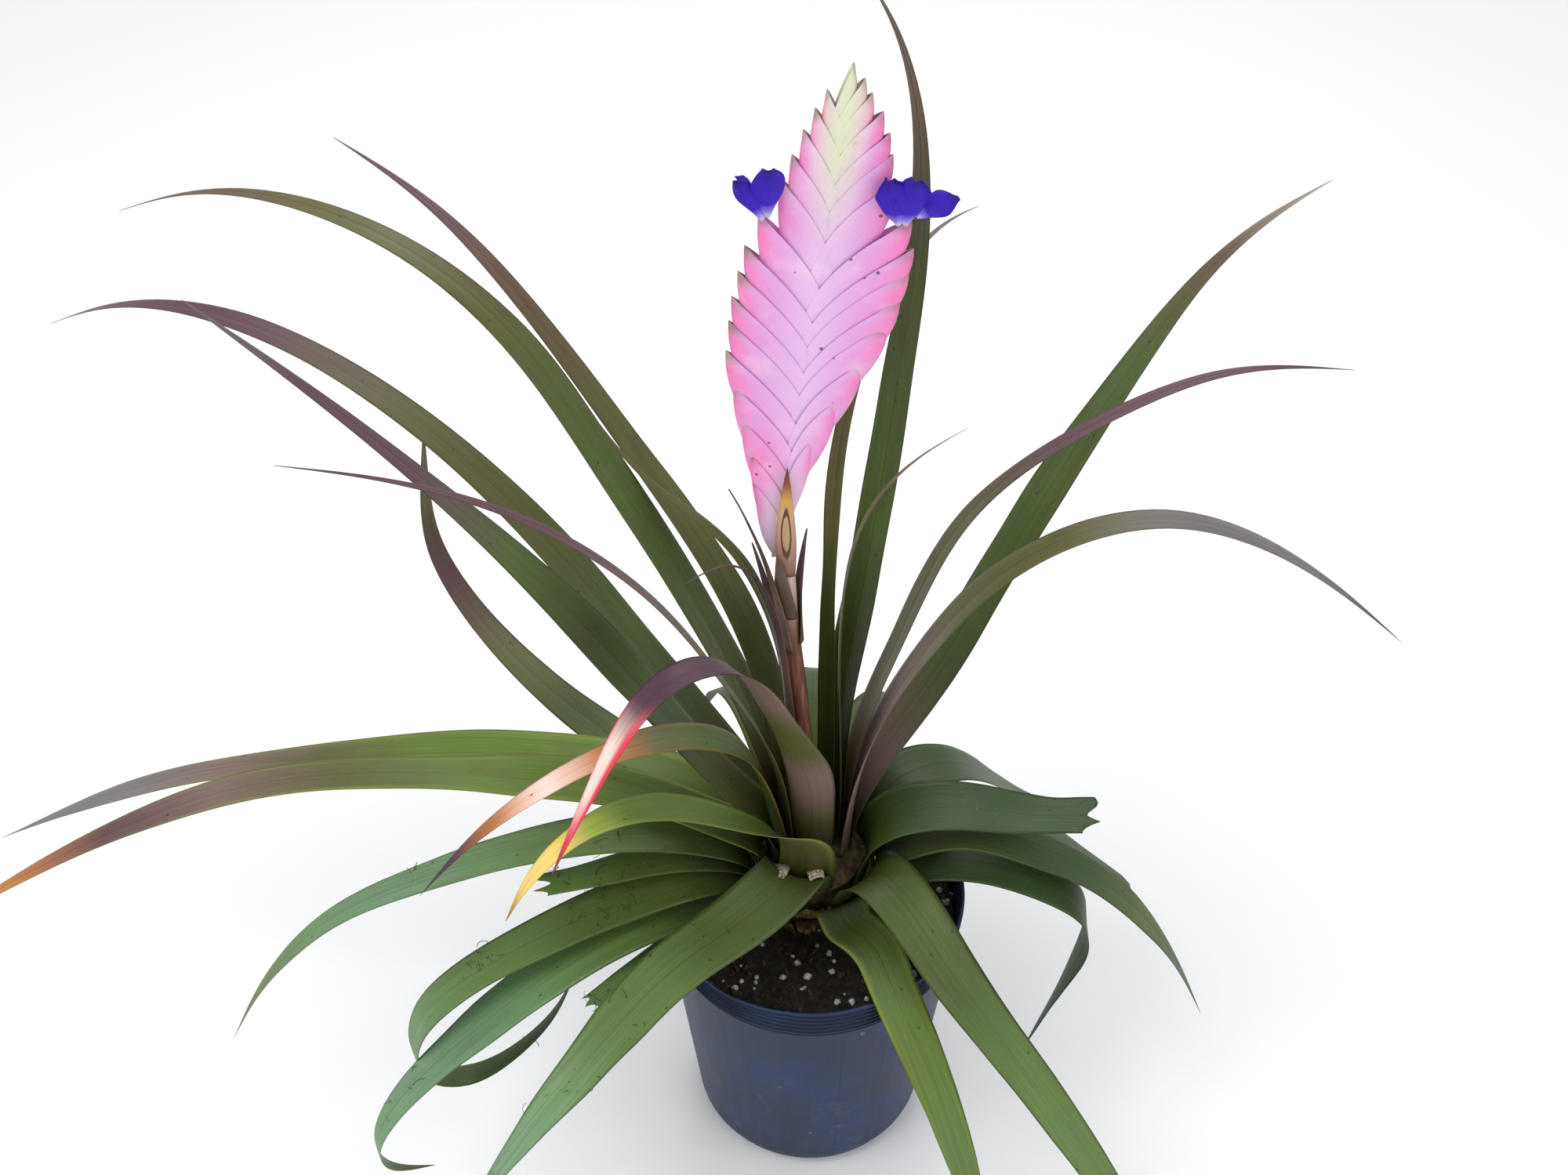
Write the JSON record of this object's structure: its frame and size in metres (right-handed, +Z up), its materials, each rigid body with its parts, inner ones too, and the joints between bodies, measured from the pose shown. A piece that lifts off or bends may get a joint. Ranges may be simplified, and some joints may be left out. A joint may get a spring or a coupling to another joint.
{
  "type": "potted bromeliad",
  "caption": "Potted bromeliad: strap leaves arching from a short stem, a flat feather-shaped flower spike with open flowers, and a thin round nursery pot of soil.",
  "frame": {"origin": "on the ground, at the centre of the pot's flat base", "axes": "+Z up the plant; -Y is the side that the flat face of the flower spike looks to; +X to the viewer's right"},
  "size_m": [0.5632, 0.3069, 0.49],
  "materials": {
    "leaf": "satin, finely lined along the leaf",
    "leaf_purple_tinted": "satin, purple-brown tint towards the tip",
    "leaf_sun_bleached": "satin, with a bleached yellow, orange or red tip",
    "spike_bract": "satin pink, brown dry tips",
    "stalk": "satin",
    "stalk_bract": "satin reddish brown",
    "petal": "soft violet-blue",
    "old_stem": "matte, scaly",
    "potting_soil": "matte crumbs",
    "pot_film": "satin black-blue film"
  },
  "bodies": {
    "root": {"flower_spike": "spike_bract", "flower_stalk": "stalk", "leaf_01": "leaf_purple_tinted", "leaf_02": "leaf", "leaf_03": "leaf", "leaf_04": "leaf_purple_tinted", "leaf_05": "leaf_purple_tinted", "leaf_06": "leaf_sun_bleached", "leaf_07": "leaf", "leaf_08": "leaf_purple_tinted", "leaf_09": "leaf_purple_tinted", "leaf_10": "leaf_purple_tinted", "leaf_11": "leaf_purple_tinted", "leaf_12": "leaf", "leaf_13": "leaf_sun_bleached", "leaf_14": "leaf", "leaf_15": "leaf_sun_bleached", "leaf_16": "leaf", "leaf_17": "leaf", "leaf_18": "leaf", "leaf_19": "leaf", "leaf_20": "leaf", "leaf_21": "leaf", "leaf_22": "leaf", "leaf_23": "leaf", "leaf_24": "leaf", "leaf_25": "leaf", "leaf_26": "leaf", "leaf_27": "leaf", "leaf_28": "leaf", "leaf_29": "leaf", "leaf_30": "leaf", "leaf_31": "leaf", "leaf_32": "leaf", "leaf_33": "leaf", "leaf_34": "leaf", "leaf_35": "leaf", "leaf_36": "leaf", "left_petal_1": "petal", "left_petal_2": "petal", "left_petal_3": "petal", "pot": "pot_film", "right_petal_1": "petal", "right_petal_2": "petal", "right_petal_3": "petal", "soil": "potting_soil", "stalk_bract_1": "stalk_bract", "stalk_bract_2": "stalk_bract", "stalk_bract_3": "stalk_bract", "stalk_bract_4": "stalk_bract", "stem": "old_stem"}
  },
  "joints": []
}
